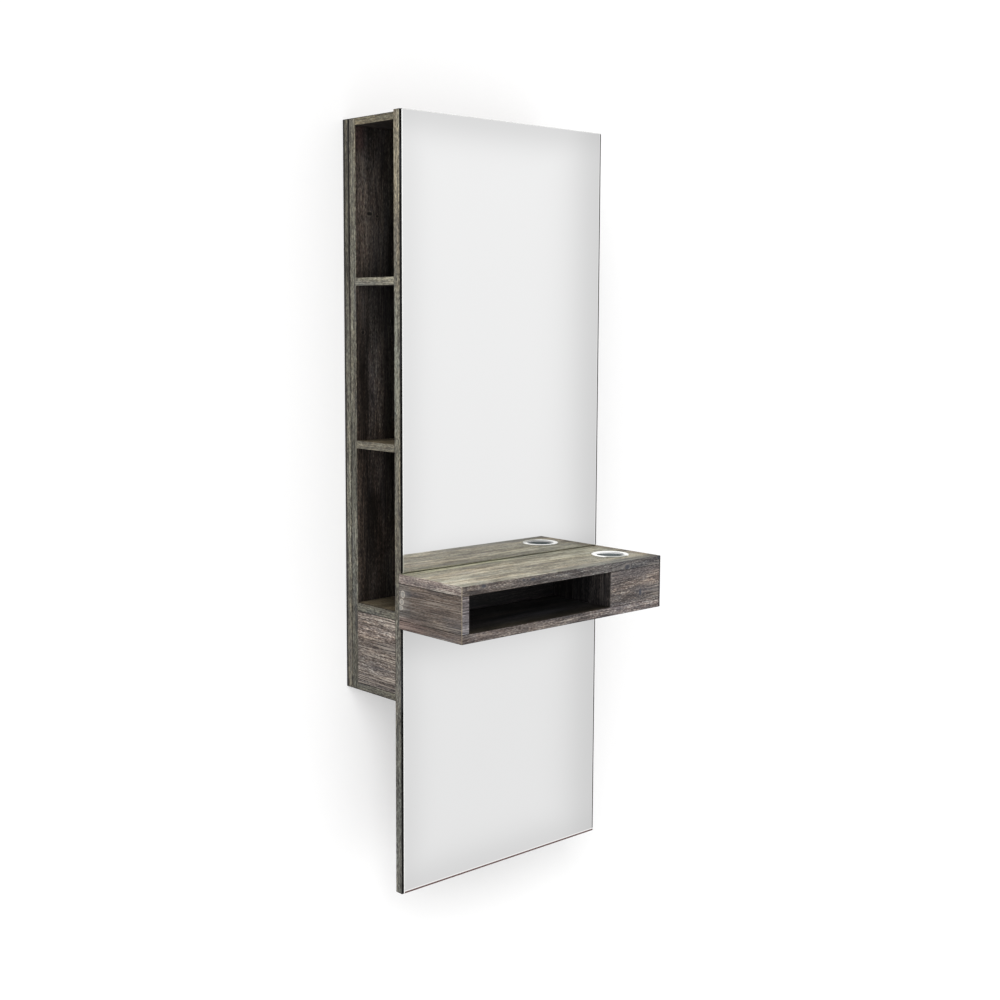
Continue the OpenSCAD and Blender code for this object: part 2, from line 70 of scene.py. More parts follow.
# %% [markdown]
# ## Camera first
# The camera stands where the photograph was taken: to the left of the station, a little above the
# middle, looking slightly down. Its place and lens were solved from the corners of the boards. We
# build its three axes from yaw, pitch and roll, because a matrix with those columns is easier to
# check than three Euler angles.

# %% Place the camera
MM = 0.001
FRAME_PIXELS, FOCAL_PIXELS, CENTRE_LINE = 1000, 1440.3, 482
CAMERA_PLACE = (-2.3431, -2.7521, 0.2141)
yaw, pitch, roll = radians(42.488), radians(6.481), radians(0.257)

look = Vector((sin(yaw) * cos(pitch), cos(yaw) * cos(pitch), -sin(pitch)))
level = Vector((cos(yaw), -sin(yaw), 0))
rise = level.cross(look)
right = cos(roll) * level + sin(roll) * rise
top = cos(roll) * rise - sin(roll) * level

lens = bpy.data.cameras.new("photo_camera")
lens.sensor_width = 36
lens.lens = FOCAL_PIXELS / FRAME_PIXELS * lens.sensor_width
lens.shift_y = (CENTRE_LINE - FRAME_PIXELS / 2) / FRAME_PIXELS
camera = bpy.data.objects.new("photo_camera", lens)
camera.matrix_world = (
    Matrix.Translation(CAMERA_PLACE)
    @ Matrix((right, top, -look)).transposed().to_4x4()
)
bpy.context.scene.collection.objects.link(camera)
bpy.context.scene.camera = camera
print("camera lens", round(lens.lens, 2), "mm")

# %% [markdown]
# ## Writing a finish as arithmetic
# A shader is a graph of nodes, and drawing one link by link hides what it computes. The class below
# wraps one output of a node, so that `a * 2 + b` adds the Math nodes for us. Colours and vectors
# must not go through Math nodes, which keep only one number, so they have methods of their own.

# %% A socket that can be calculated with
class Wire:
    """One output of a node. Arithmetic on it adds Math nodes to the same tree."""

    def __init__(self, tree, socket=None):
        self.tree, self.socket = tree, socket

    def node(self, kind, settings=None, sockets=None, out=0):
        """Adds a node: its settings first, then the values or links of its sockets."""
        made = self.tree.nodes.new(kind)
        for key, value in (settings or {}).items():
            if key == "stops":
                ramp = made.color_ramp
                for _ in value[2:]:  # a new ramp has two stops already
                    ramp.elements.new(0.5)
                for element, (place, colour) in zip(ramp.elements, value):
                    element.position = place
                    element.color = (*colour, 1)
            else:
                setattr(made, key, value)
        for key, value in (sockets or {}).items():
            if isinstance(value, Wire):
                self.tree.links.new(value.socket, made.inputs[key])
            else:
                made.inputs[key].default_value = value
        return Wire(self.tree, made.outputs[out] if len(made.outputs) else None)

    def __getitem__(self, out):
        return Wire(self.tree, self.socket.node.outputs[out])

    def math(self, operation, *values):
        return self.node("ShaderNodeMath", {"operation": operation}, dict(enumerate(values)))

    def __add__(self, other): return self.math("ADD", self, other)
    def __radd__(self, other): return self.math("ADD", other, self)
    def __sub__(self, other): return self.math("SUBTRACT", self, other)
    def __rsub__(self, other): return self.math("SUBTRACT", other, self)
    def __mul__(self, other): return self.math("MULTIPLY", self, other)
    def __rmul__(self, other): return self.math("MULTIPLY", other, self)
    def __truediv__(self, other): return self.math("DIVIDE", self, other)
    def __pow__(self, other): return self.math("POWER", self, other)

    def exp(self): return self.math("EXPONENT", self)
    def size(self): return self.math("ABSOLUTE", self)
    def most(self, other): return self.math("MAXIMUM", self, other)

    def step(self, low, high, first=0.0, last=1.0):
        """Rises smoothly from first to last while the value goes from low to high."""
        settings = {"interpolation_type": "SMOOTHSTEP"}
        return self.node("ShaderNodeMapRange", settings,
                         {0: self, 1: low, 2: high, 3: first, 4: last})

    def noise(self, place, detail, roughness, scale=1.0):
        sockets = {"Vector": place, "Scale": scale, "Detail": detail, "Roughness": roughness}
        return self.node("ShaderNodeTexNoise", None, sockets)

    def ramp(self, *stops):
        return self.node("ShaderNodeValToRGB", {"stops": stops}, {0: self})

    def tint(self, colour, share, how="MIX"):
        """This colour mixed with another by a share, as paint or as a multiplied stain. The other
        is a wire, a colour, or one number for a grey."""
        if isinstance(colour, float):
            colour = (colour,) * 3
        other = colour if isinstance(colour, Wire) else (*colour, 1)
        settings = {"data_type": "RGBA", "blend_type": how, "clamp_factor": True}
        return self.node("ShaderNodeMix", settings, {0: share, 6: self, 7: other}, out=2)

    def vector(self, x, y, z):
        return self.node("ShaderNodeCombineXYZ", None, {0: x, 1: y, 2: z})


def srgb(*colour):
    """A colour given from 0 to 255, as the linear numbers that a shader works in."""
    shares = [c / 255 for c in colour]
    return tuple(s / 12.92 if s <= 0.04045 else ((s + 0.055) / 1.055) ** 2.4 for s in shares)


WHITE = (1.0, 1.0, 1.0)
print("a mid grey of 128 is", round(srgb(128)[0], 3), "to the shader")

# %% [markdown]
# Every finish here ends in one Principled shader. begin() makes the material, the finish describes
# its colour, roughness and height, and close() sets what is constant on the shader itself. Many
# finishes change at some place on the object, so between() turns places along the axes into a mask.
# mottled() is the simplest finish, for pieces that hardly show: two colours in one noise.

# %% Start and close a finish
def begin(name):
    """A new material and a wire that its nodes are grown from."""
    made = bpy.data.materials.new(name)
    made.use_nodes = True
    made.node_tree.nodes.clear()
    return made, Wire(made.node_tree)


def close(start, colour, rough, height=None, relief=0.3, depth=0.4 * MM, **fixed):
    """The Principled shader, with an optional bump, joined to the output."""
    sockets = {"Base Color": colour, "Roughness": rough, **fixed}
    if height is not None:
        bumped = {"Height": height, "Strength": relief, "Distance": depth}
        sockets["Normal"] = start.node("ShaderNodeBump", None, bumped)
    surface = start.node("ShaderNodeBsdfPrincipled", None, sockets)
    start.node("ShaderNodeOutputMaterial", None, {"Surface": surface})


def object_axes(start):
    """Object coordinates in metres, as a vector and as three numbers."""
    place = start.node("ShaderNodeTexCoord", out="Object")
    parts = start.node("ShaderNodeSeparateXYZ", None, {0: place})
    return place, {"x": parts["X"], "y": parts["Y"], "z": parts["Z"]}


def between(axis, *spans):
    """A mask from 0 to 1. A span is an axis and the two places in metres between which the mask
    comes in, and where there are several, all of them have to be met."""
    mask = 1.0
    for key, low, high in spans:
        mask = axis[key].step(low, high, 0.0, mask)
    return mask


def mottled(name, grain, dark, light, rough, vary, spread=0.2, **rest):
    """Two colours mixed by one noise, which is the surface's height too. grain is the noise's
    detail, roughness and scale, and spread how far from its middle the pure colours lie."""
    made, start = begin(name)
    place, _ = object_axes(start)
    mottle = start.noise(place, *grain)
    colour = mottle.ramp((0.5 - spread, srgb(*dark)), (0.5 + spread, srgb(*light)))
    close(start, colour, rough + mottle * vary, mottle, **rest)
    return made


print("finishes are built with begin() and close()")

# %% [markdown]
# ## The weathered wood print
# The board's print imitates an old driftwood plank: long pale and brown streaks, hair-thin pale
# scratches, dark pores, cold grey-blue bruises and a few knots that the grain flows around. One
# recipe serves every face. It stretches noise along the grain axis, and each face only says which
# axis that is and how warm, dark and busy its piece of the print should be. Working in object
# coordinates means that a streak runs on unbroken from a board's face over its rounded arris.

# %% Knots in the grain
def grow_knots(along, side, drift, knots):
    """Bends the grain round each knot and returns it with the knots' cores, rings and smoke. How
    far a point is from a knot is measured in reaches: a core ends at about one, a ring at two."""
    core = ring = smoke = 0.0
    for u, v, long, wide in knots:
        far_u, far_v = (along - u * MM) / (long * MM), (side - v * MM) / (wide * MM)
        near = (far_u * far_u * -0.08 - far_v * far_v * 0.33).exp()
        drift = drift - near * (side - v * MM) * 0.8
        squared = far_u * far_u + far_v * far_v
        core = squared.step(0.4, 1.5, 1.0, 0.0).most(core)
        ring = (squared.step(1.2, 1.9) * squared.step(3.9, 2.2)).most(ring)
        smoke = near.most(smoke)
    return drift, core, ring, smoke


print("knots have a core, a ring and smoke")

# %% [markdown]
# The recipe stacks its layers. First come the five tones, mixed by streaks of four sizes. Then the
# hue shifts from patch to patch, and bruises, veins, scratches and pores go over it. Knots come
# next, and the stains come last, because they lie over the whole print. The stains paint light and
# shade as well as the print's own clouds.

# %% The wood recipe
TONE_PLACES = 0.05, 0.30, 0.50, 0.70, 0.95
COOL, PLAIN, RUSTY = (0.78, 0.90, 1.0), (0.90, 0.90, 0.90), (1.0, 0.87, 0.76)
BRUISE = srgb(74, 76, 84)


def wood(name, grain, tones, across="z", seed=0.0, lines=1.0, flecks=1.0, bands=1.0, veins=0.3,
         warm=0.5, bruise=0.3, pale=0.4, pores=0.5, knots=(), eye=(0.02, 0.02, 0.02), halo=0.5,
         sway=0.022, clouds=0.0, stains_and_shade=()):
    """Weathered wood along one axis. tones are five colours from dark to pale. A knot is its place
    along the grain, its place across it, and its reach along and across, in millimetres. A stain,
    which multiplies in painted light and shade as well as the print's own clouds, is its colour, or
    one number for a grey, and the spans where it comes in. eye is a knot's colour, halo how pale
    the ring round it is, sway how far the grain wanders, and clouds how strong the short pale
    patches are."""
    made, start = begin(name)
    _, axis = object_axes(start)
    tint_masks = [(multiplier, between(axis, *spans)) for multiplier, *spans in stains_and_shade]
    along, side = axis.pop(grain), axis.pop(across)
    (depth,) = axis.values()
    darkest, palest = tones[0], tones[-1]

    wander = start.noise(start.vector(along * 2.1 + seed, side * 4, depth * 4), 1, 0.5) - 0.5
    drift, core, ring, smoke = grow_knots(along, side, side + wander * sway, knots)

    def streaks(long, short, detail=1.0, roughness=0.5, shift=0.0):
        """Noise with so many features a metre along the grain and across it. A layer's own shift
        keeps it from lining up with another."""
        place = start.vector(along * long + (seed + shift), drift * short, depth * short)
        return start.noise(place, detail, roughness)

    broad = streaks(2.4, 26)
    middle = streaks(6, 130, 1, 0.5, 5.2)
    fine = streaks(13, 520, 1.5, 0.6, 7.1)
    fleck = streaks(130, 430, 1.5, 0.6, 11.3)
    patch = streaks(4.2, 19, 1.5, 0.5, 27.7).step(0.40, 0.60)

    tone = (0.5 + (broad - 0.5) * bands + (middle - 0.5) * 0.7 * lines + (fine - 0.5) * 2.2 * lines
            + (fleck - 0.5) * 1.5 * flecks)
    if clouds:
        tone = tone + (streaks(22, 70, 1, 0.5, 41.6) - 0.5) * clouds
    colour = tone.ramp(*zip(TONE_PLACES, tones))

    hue = streaks(1.9, 12, 1, 0.5, 31.2) * 0.65 + streaks(45, 210, 1, 0.5, 33.6) * 0.35
    colour = colour.tint(hue.ramp((0.36, COOL), (0.50, PLAIN), (0.64, RUSTY)), warm, "MULTIPLY")
    cold = streaks(5, 34, 1.5, 0.6, 35.8).step(0.52, 0.68)
    colour = colour.tint(BRUISE, cold * bruise)
    vein = streaks(3.4, 64, 1, 0.4, 17.9) - 0.5
    vein = (vein * vein).step(0.0, 0.0005, 1.0, 0.0) * patch
    colour = colour.tint(darkest, vein * veins)
    scratch = streaks(8, 460, 1, 0.5, 15.9).step(0.54, 0.62) * (1.1 - patch)
    colour = colour.tint(palest, scratch * pale)
    pit = streaks(60, 520, 1, 0.5, 21.4).step(0.40, 0.30)
    colour = colour.tint(darkest, pit * pores)
    if knots:
        colour = colour.tint(eye, smoke * 0.3)
        colour = colour.tint(palest, ring * (fine.step(0.40, 0.58) * 0.6 + 0.4) * halo)
        colour = colour.tint(eye, core * 0.85)
    for multiplier, share in tint_masks:
        colour = colour.tint(multiplier, share, "MULTIPLY")

    rough = 0.56 + (fine - 0.5) * 0.25 - scratch * 0.06 + pit * 0.10
    height = fine * 0.6 + fleck * 0.35 + scratch * 0.25 - pit * 0.5
    close(start, colour, rough, height, **{"Specular IOR Level": 0.3})
    return made


print("wood() takes a grain axis and five tones")

# %% [markdown]
# The tones below were matched to each part of the station. The worktop's upper face is the
# olive-tan end of the print. Its front and sides are greyer with a pink cast. The thin edge bands
# of the tower are olive-grey and granular. The bay linings and the cubby are a dark brown, taken
# darker still as painted shade inside them.

# %% Choose the tones
def tones_of(by, *colours):
    """Five sRGB colours from dark to pale as linear ones, made brighter or darker by a factor."""
    return [tuple(min(1.0, c * by) for c in srgb(*colour)) for colour in colours]


deck_tones = (72, 67, 57), (117, 111, 96), (144, 139, 122), (169, 163, 144), (204, 199, 180)
face_tones = (42, 37, 36), (74, 66, 63), (101, 92, 88), (132, 123, 116), (190, 181, 169)
side_tones = (46, 38, 34), (76, 66, 60), (101, 90, 83), (128, 117, 108), (184, 173, 160)
stile_tones = (44, 40, 42), (78, 73, 75), (106, 100, 102), (136, 130, 131), (186, 180, 178)
band_tones = (52, 48, 42), (88, 84, 74), (115, 111, 98), (142, 138, 122), (182, 178, 158)
olive_tones = (54, 48, 36), (92, 86, 70), (119, 113, 94), (146, 140, 118), (186, 180, 156)
shade_darkened_lining_tones = (20, 17, 15), (40, 35, 32), (60, 53, 49), (84, 76, 70), (126, 115, 105)
painted_light_ledge_tones = (60, 52, 40), (88, 78, 61), (108, 97, 77), (128, 116, 94), (160, 148, 124)
shade_darkened_cubby_tones = (16, 15, 15), (27, 26, 26), (36, 34, 34), (47, 44, 43), (80, 75, 72)
slate = srgb(66, 68, 76)
print("nine sets of tones")

# %% [markdown]
# Stains then take each face to its place. A grey multiplies the print lighter or darker over some
# span of an axis, and so paints light and shade as well as the print's own long clouds. The deck
# and the front come first, because they are the largest wood faces in the picture. Their knots are
# small and slate.

# %% Mix the deck and the front
on_the_base = ("z", -0.468, -0.473)
finishes = {
    "deck": wood(
        "deck_wood", "x", tones_of(1, *deck_tones), "y", 2.0, lines=0.55, flecks=0.9, veins=0.4,
        warm=0.8, bruise=0.4, pale=0.7, pores=0.2, sway=0.035, clouds=0.8,
        knots=[(88, -313, 4, 4)], eye=slate,
        stains_and_shade=[((0.78, 0.77, 0.73), ("y", -0.285, -0.262)),
                ((1.56, 1.62, 1.47), ("y", -0.245, -0.228), ("x", 0.05, -0.05)),
                ((0.88, 0.87, 0.88), ("y", -0.275, -0.250), ("x", 0.10, 0.0)),
                ((1.05, 1.07, 1.10), ("y", -0.355, -0.375), ("x", 0.05, -0.05)),
                (0.78, ("y", -0.390, -0.415), ("x", -0.08, -0.12)),
                ((0.42, 0.42, 0.43), ("y", -0.384, -0.412), ("x", -0.12, 0.04)),
                ((0.93, 0.92, 0.86), ("x", 0.0, 0.08), ("y", -0.330, -0.318),
                 ("y", -0.280, -0.290)),
                ((0.88, 0.91, 0.94), ("x", 0.04, -0.06), ("y", -0.365, -0.350),
                 ("y", -0.318, -0.330)),
                ((0.62, 0.57, 0.52), ("x", 0.290, 0.306)),
                ((0.70, 0.64, 0.60), ("x", 0.3190, 0.3240))]),
    "front": wood(
        "front_wood", "x", tones_of(0.98, *face_tones), seed=5.0, lines=0.45, bands=0.45, veins=0.6,
        warm=0.75, pale=0.3, sway=0.07, clouds=0.5,
        knots=[(-261, -371, 6, 4), (-111, -373, 8, 3), (-140, -372, 5, 2),
               (204, -381, 8, 6), (252, -448, 4.5, 9), (319, -369, 6, 5)],
        eye=slate, halo=0.1,
        # The first stain is painted shade: a dark line where the front rounds into its right end.
        stains_and_shade=[((0.28, 0.26, 0.26), ("x", 0.3174, 0.3206)),
                ((0.76, 0.77, 0.80), ("x", -0.07, -0.14), on_the_base),
                ((0.86, 0.85, 0.86), ("x", -0.14, -0.07), ("x", 0.17, 0.12), on_the_base),
                ((0.88, 0.86, 0.87), ("x", -0.19, -0.23), on_the_base),
                ((1.18, 1.16, 1.16), ("x", 0.04, 0.09), on_the_base),
                ((1.34, 1.34, 1.36), ("x", 0.12, 0.17), on_the_base),
                (0.80, ("z", -0.388, -0.384)),
                ((1.10, 1.02, 0.97), ("x", 0.12, 0.16), ("z", -0.384, -0.390),
                 ("z", -0.45, -0.42))]),
}
print(len(finishes), "wood finishes")

# %% [markdown]
# The side's print runs front to back and has a column of pale knots near the mirror. The top
# board's end shows the same print much lighter, and the left side's narrow front is a cooler grey.

# %% Mix the side and the narrow faces
finishes |= {
    "side": wood(
        "side_wood", "y", tones_of(0.90, *side_tones), seed=9.0, lines=0.65, flecks=0.5, bands=0.5,
        veins=0.6, warm=0.6, bruise=0.4,
        knots=[(-223, -411, 4, 5), (-219, -429, 4, 4), (-215, -443, 5, 3)], halo=1.8,
        eye=srgb(150, 144, 136),
        stains_and_shade=[((0.86, 0.92, 0.97), ("y", -0.262, -0.240), ("z", -0.472, -0.452)),
                ((1.35, 1.33, 1.30), ("y", -0.246, -0.232), ("z", -0.394, -0.402),
                 ("z", -0.452, -0.444)),
                (0.90, ("z", -0.444, -0.456), ("z", -0.478, -0.472)),
                ((1.16, 1.12, 1.12), ("z", -0.470, -0.476)),
                ((1.14, 1.04, 1.06), ("y", -0.32, -0.27), ("z", -0.458, -0.468))]),
    "end": wood(
        "worktop_end_wood", "y", tones_of(2.15, *face_tones), seed=12.0, lines=0.35, flecks=0.75,
        bands=0.3, warm=0.2, pale=0.5,
        stains_and_shade=[((1.35, 1.30, 1.25), ("z", -0.3865, -0.3880))]),
    "stile": wood(
        "stile_wood", "x", tones_of(0.88, *stile_tones), seed=14.0, lines=0.8, flecks=0.5,
        bands=0.3, warm=0.4, pale=0.5),
}
print(len(finishes), "wood finishes")

# %% [markdown]
# The tower's upright edges carry thin lines that a stain draws well, because it can be near black
# over a few millimetres. They are painted shade along the back of the wall board's edge, next to
# the wall, the dark foot, and painted shade in the joint between the wall board and the back panel.
# That shade is dark high up, where the joint is open, and softer lower down. The edges of the wall
# board and the back panel also take darker copies of the band print, as painted shade towards the
# wall.

# %% Mix the upright edges
foot = ((0.30, 0.28, 0.27), ("z", -0.6640, -0.6665))
painted_wall_side_shade = ((0.12, 0.11, 0.12), ("y", -0.0096, -0.0058))
painted_joint_shade_high = ((0.08, 0.07, 0.07), ("y", -0.0170, -0.0195), ("z", 0.10, 0.40))
painted_joint_shade_low = ((0.45, 0.43, 0.43), ("y", -0.0185, -0.0210), ("z", -0.05, 0.20))
finishes |= {
    "edge_up": wood(
        "upright_edge_wood", "z", tones_of(1.10, *band_tones), "y", 18.0, lines=0.6, flecks=1.4,
        bands=0.3, warm=0.7,
        stains_and_shade=[(0.84, ("z", 0.4, 0.2)),
                ((0.84, 0.83, 0.86), ("z", -0.2, -0.6)),
                ((1.24, 1.24, 1.22), ("z", 0.42, 0.52)),
                (0.86, ("z", -0.05, -0.12), ("z", -0.36, -0.28)),
                ((1.12, 1.10, 1.12), ("z", -0.43, -0.50), ("z", -0.74, -0.64)),
                ((0.90, 0.90, 0.92), ("z", -0.84, -0.92))]),
    "edge_wall": wood(
        "wall_edge_wood", "z", tones_of(0.72, *band_tones), "y", 20.0, lines=0.8, flecks=1.4,
        bands=0.4, warm=0.6,
        stains_and_shade=[((0.88, 0.86, 0.85), ("z", 0.12, 0.28)),
                (1.50, ("z", 0.02, -0.08), ("z", -0.46, -0.36)),
                ((0.87, 0.87, 0.85), ("z", 0.20, 0.30)),
                painted_wall_side_shade, painted_joint_shade_high, painted_joint_shade_low, foot]),
    "edge_back": wood(
        "back_edge_wood", "z", tones_of(0.90, *band_tones), "y", 21.0, lines=0.7, flecks=1.4,
        bands=0.3, warm=0.6,
        stains_and_shade=[((0.84, 0.85, 0.88), ("z", 0.12, 0.0)),
                ((0.56, 0.56, 0.55), ("z", 0.02, -0.06), ("z", -0.28, -0.20)),
                ((0.74, 0.72, 0.70), ("z", -0.42, -0.50)), foot]),
}
print(len(finishes), "wood finishes")

# %% [markdown]
# The level edges are the ends of the shelves. Their print runs front to back. The upper shelf's is
# paler than the lower one's, the top board's is more olive, and the bottom's is darker.

# %% Mix the level edges
finishes |= {
    "edge_out": wood(
        "shelf_edge_wood", "y", tones_of(1.08, *band_tones), seed=23.0, lines=0.5, flecks=0.9,
        bands=0.25, warm=0.6, pale=0.3, pores=0.3,
        stains_and_shade=[((1.46, 1.44, 1.40), ("z", 0.0, 0.2)),
                ((0.94, 0.95, 0.96), ("z", 0.2, 0.0))]),
    "edge_top": wood(
        "top_edge_wood", "y", tones_of(0.92, *olive_tones), seed=25.0, lines=0.45, bands=0.3,
        warm=0.8, pores=0.3),
    "edge_low": wood(
        "low_edge_wood", "y", tones_of(0.70, *band_tones), seed=26.0, lines=0.6, flecks=1.3,
        bands=0.3, warm=0.6,
        stains_and_shade=[((0.88, 0.88, 0.90), ("z", -0.60, -0.64)), foot]),
    "edge_wide": wood(
        "end_edge_wood", "x", tones_of(0.8, *face_tones), "y", 27.0, lines=0.6, flecks=0.8,
        bands=0.6, pale=0.2, pores=0.2),
}
print(len(finishes), "wood finishes")

# %% [markdown]
# Below the worktop one sees the plinth panel, whose print has broad pale and dark bands. The large
# faces of the tower's boards are hidden. Of the mirror board's front only a strip beside the glass
# shows, and its print is taken almost to black as painted shade.

# %% Mix the plinth and the large faces
finishes |= {
    "plinth": wood(
        "plinth_wood", "y", tones_of(1.22, *side_tones), seed=31.0, lines=0.65, flecks=1.1,
        bands=0.1, veins=0.6, warm=0.7, pale=0.7, sway=0.035,
        stains_and_shade=[(1.16, ("z", -0.506, -0.500)),
                ((1.42, 1.49, 1.58), ("z", -0.503, -0.512), ("z", -0.536, -0.528)),
                ((0.66, 0.66, 0.67), ("z", -0.536, -0.543), ("z", -0.566, -0.560)),
                (1.12, ("z", -0.585, -0.600), ("z", -0.632, -0.622)),
                ((0.72, 0.71, 0.72), ("z", -0.622, -0.632))]),
    "panel": wood("panel_wood", "z", tones_of(1.2, *face_tones), "x", 36.0),
    "reveal": wood("painted_shade_reveal_wood", "z", tones_of(0.012, *face_tones), "x", 38.0),
}
print(len(finishes), "wood finishes")

# %% [markdown]
# The lining is the wall that one sees inside the bays. Its tones are taken dark as painted shade,
# and its stains paint more light near the open side and deeper, cooler shade further in and near
# the top of a bay. Each bay shows another stretch of its print, so a stain here needs its limits
# along the board as well as across it. One that lacked a limit would change the bay above or below
# too.

# %% Mix the lining of the bays
inner_strip = ("x", -0.255, -0.235)
lowest_bay, low_down = ("z", -0.060, -0.080), ("z", -0.20, -0.28)
finishes |= {
    "lining": wood(
        "lining_wood", "z", tones_of(1.0, *shade_darkened_lining_tones), "x", 41.0, lines=0.5, flecks=0.9,
        bands=0.9, veins=0.6, warm=0.8, bruise=0.1, pale=0.3, sway=0.03,
        knots=[(454, -279, 4, 7), (449, -256, 2.6, 4), (180, -300, 3, 4)],
        eye=(0.003, 0.003, 0.003), halo=0.25,
        stains_and_shade=[((0.80, 0.88, 0.92), ("x", -0.26, -0.22)),
                ((2.10, 2.14, 2.16), ("x", -0.290, -0.280), ("x", -0.235, -0.25),
                 ("z", 0.20, 0.10), ("z", -0.22, -0.15)),
                (0.72, ("x", -0.285, -0.300), ("z", 0.20, 0.10), ("z", -0.20, -0.12)),
                (1.40, inner_strip, ("z", 0.54, 0.60)),
                (1.40, inner_strip, low_down),
                (0.84, low_down),
                (1.45, ("z", 0.30, 0.36), ("z", 0.56, 0.50)),
                ((0.70, 0.70, 0.72), ("z", 0.53, 0.62), ("x", -0.25, -0.27)),
                (1.22, ("x", -0.27, -0.30), ("z", 0.32, 0.28), ("z", 0.16, 0.22)),
                ((1.42, 1.42, 1.37), ("x", -0.25, -0.235), ("z", 0.40, 0.50)),
                ((0.78, 0.62, 0.66), ("x", -0.285, -0.300), ("z", 0.58, 0.61)),
                (1.50, ("x", -0.310, -0.300), ("x", -0.266, -0.276), ("z", -0.240, -0.180),
                 lowest_bay),
                ((0.66, 0.68, 0.72), ("x", -0.270, -0.258), ("z", -0.300, -0.220), lowest_bay),
                (0.82, ("x", -0.290, -0.300), ("z", -0.27, -0.29))]),
}
print(len(finishes), "wood finishes")

# %% [markdown]
# The shelves' upper faces are painted lighter, as light falling on them, and their undersides take
# the lining print much darker, as painted shade. The cubby is painted the darkest place on the
# object, as shade, though its right end, which faces the camera, is far lighter near the front and
# painted darker towards the back.

# %% Mix the shelves' faces and the cubby
finishes |= {
    "ledge": wood("painted_light_ledge_wood", "x", tones_of(1, *painted_light_ledge_tones), "y", 46.0, bruise=0.1),
    "ceiling": wood("painted_shade_ceiling_wood", "x", tones_of(0.35, *shade_darkened_lining_tones), "y", 49.0),
    "cubby": wood(
        "cubby_wood", "x", tones_of(0.36, *shade_darkened_cubby_tones), seed=52.0, bruise=0.1,
        knots=[(-218, -399, 6, 5)], eye=(0.0003, 0.0003, 0.0003), halo=0.2,
        stains_and_shade=[((1.5, 1.5, 1.6), ("x", -0.20, -0.08))]),
    "cubby_floor": wood(
        "cubby_floor_wood", "x", tones_of(0.45, *shade_darkened_cubby_tones), "y", 55.0, bands=1.6, bruise=0.1,
        warm=0.7,
        stains_and_shade=[((1.10, 1.00, 0.70), ("y", -0.36, -0.42)),
                ((2.1, 2.1, 2.2), ("y", -0.425, -0.375))]),
    "cubby_end": wood(
        "cubby_end_wood", "z", tones_of(2.8, *shade_darkened_cubby_tones), "y", 57.0, lines=0.7, bruise=0.1,
        stains_and_shade=[((0.36, 0.36, 0.38), ("y", -0.420, -0.335))]),
}
print(len(finishes), "wood finishes in all")

# %% [markdown]
# ## Arris and core
# Where an edge band is rounded over, one of two things is painted. On the worktop's front corner a
# pale rounding is a painted highlight, a thin light line. On the outlines of the tower a near-black
# rounding is painted shade, which draws a dark line along the edges and joints. Inside the
# drillings there is no print at all, only pressed wood chips.

# %% Arris and core finishes
def arris_finish(name, low, high, pale_specks, share):
    made, start = begin(name)
    place, _ = object_axes(start)
    broken = start.noise(place, 4, 0.6, 160)
    colour = broken.ramp((0.2, srgb(*low)), (0.8, srgb(*high)))
    colour = colour.tint(srgb(*pale_specks), broken.step(0.44, 0.62) * share)
    close(start, colour, 0.55 + broken * 0.2, broken, relief=0.2, **{"Specular IOR Level": 0.12})
    return made


def core_finish():
    made, start = begin("chip_core")
    place, _ = object_axes(start)
    chips = start.node("ShaderNodeTexVoronoi", {"feature": "F1"}, {"Vector": place, "Scale": 620.0})
    shade = start.noise(place, 3, 0.6, 300)
    colour = shade.ramp((0.25, srgb(120, 92, 62)), (0.75, srgb(196, 164, 122)))
    colour = colour.tint(srgb(92, 68, 46), chips["Distance"].step(0.2, 0.7) * 0.6)
    close(start, colour, 0.85 + shade * 0.1, chips["Distance"], relief=0.6, depth=1 * MM)
    return made


# A painted highlight for the worktop's front corner, and painted shade for the dark roundings.
finishes["worn"] = arris_finish("painted_highlight_arris", (108, 98, 85), (162, 151, 131), (184, 173, 157), 0.6)
finishes["seam"] = arris_finish("painted_shade_seam_arris", (14, 11, 10), (38, 32, 28), (70, 60, 50), 0.25)
finishes["core"] = core_finish()
print("arris and core finishes made")

# %% [markdown]
# ## Facing the boards
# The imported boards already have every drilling, groove and pocket, but their arrises are plain
# chamfers. So each faced board starts as a copy of its packed one: the loose triangles are merged,
# flat neighbours are melted into one face, the chamfers are closed up to square corners, and the
# bevel operator rounds those edges that are seen. A packed chamfer is less than 0.9 mm wide, and
# the real band is rounded over 1.3 mm. An edge that butts against another board stays square,
# because a real butt joint has no rounding in it.

# %% Copy, square up and round a board
CAD_ARRIS, ARRIS = 0.9 * MM, 1.3 * MM
TOUCHING = 0.02 * MM
SHARP = radians(40)
WAYS = {"-x": (0, 0), "+x": (0, 1), "-y": (1, 0), "+y": (1, 1), "-z": (2, 0), "+z": (2, 1)}


def squared_copy(node, box):
    """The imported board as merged, melted faces with square corners."""
    bm = bmesh.new()
    bm.from_mesh(frame["nodes"][node].data)
    for v in bm.verts:
        for i in range(3):
            for limit in box:
                if abs(v.co[i] - limit[i]) < CAD_ARRIS:
                    v.co[i] = limit[i]
    bmesh.ops.remove_doubles(bm, verts=bm.verts, dist=TOUCHING)
    bmesh.ops.dissolve_degenerate(bm, edges=bm.edges, dist=TOUCHING / 2)
    bmesh.ops.dissolve_limit(bm, angle_limit=radians(1), verts=bm.verts, edges=bm.edges)
    return bm


def outer_way(face, box):
    """Which side of the board's box a face lies on, or None."""
    middle = face.calc_center_median()
    for way, (i, end) in WAYS.items():
        if abs(face.normal[i]) > 0.999 and abs(middle[i] - box[end][i]) < TOUCHING:
            return way
    return None


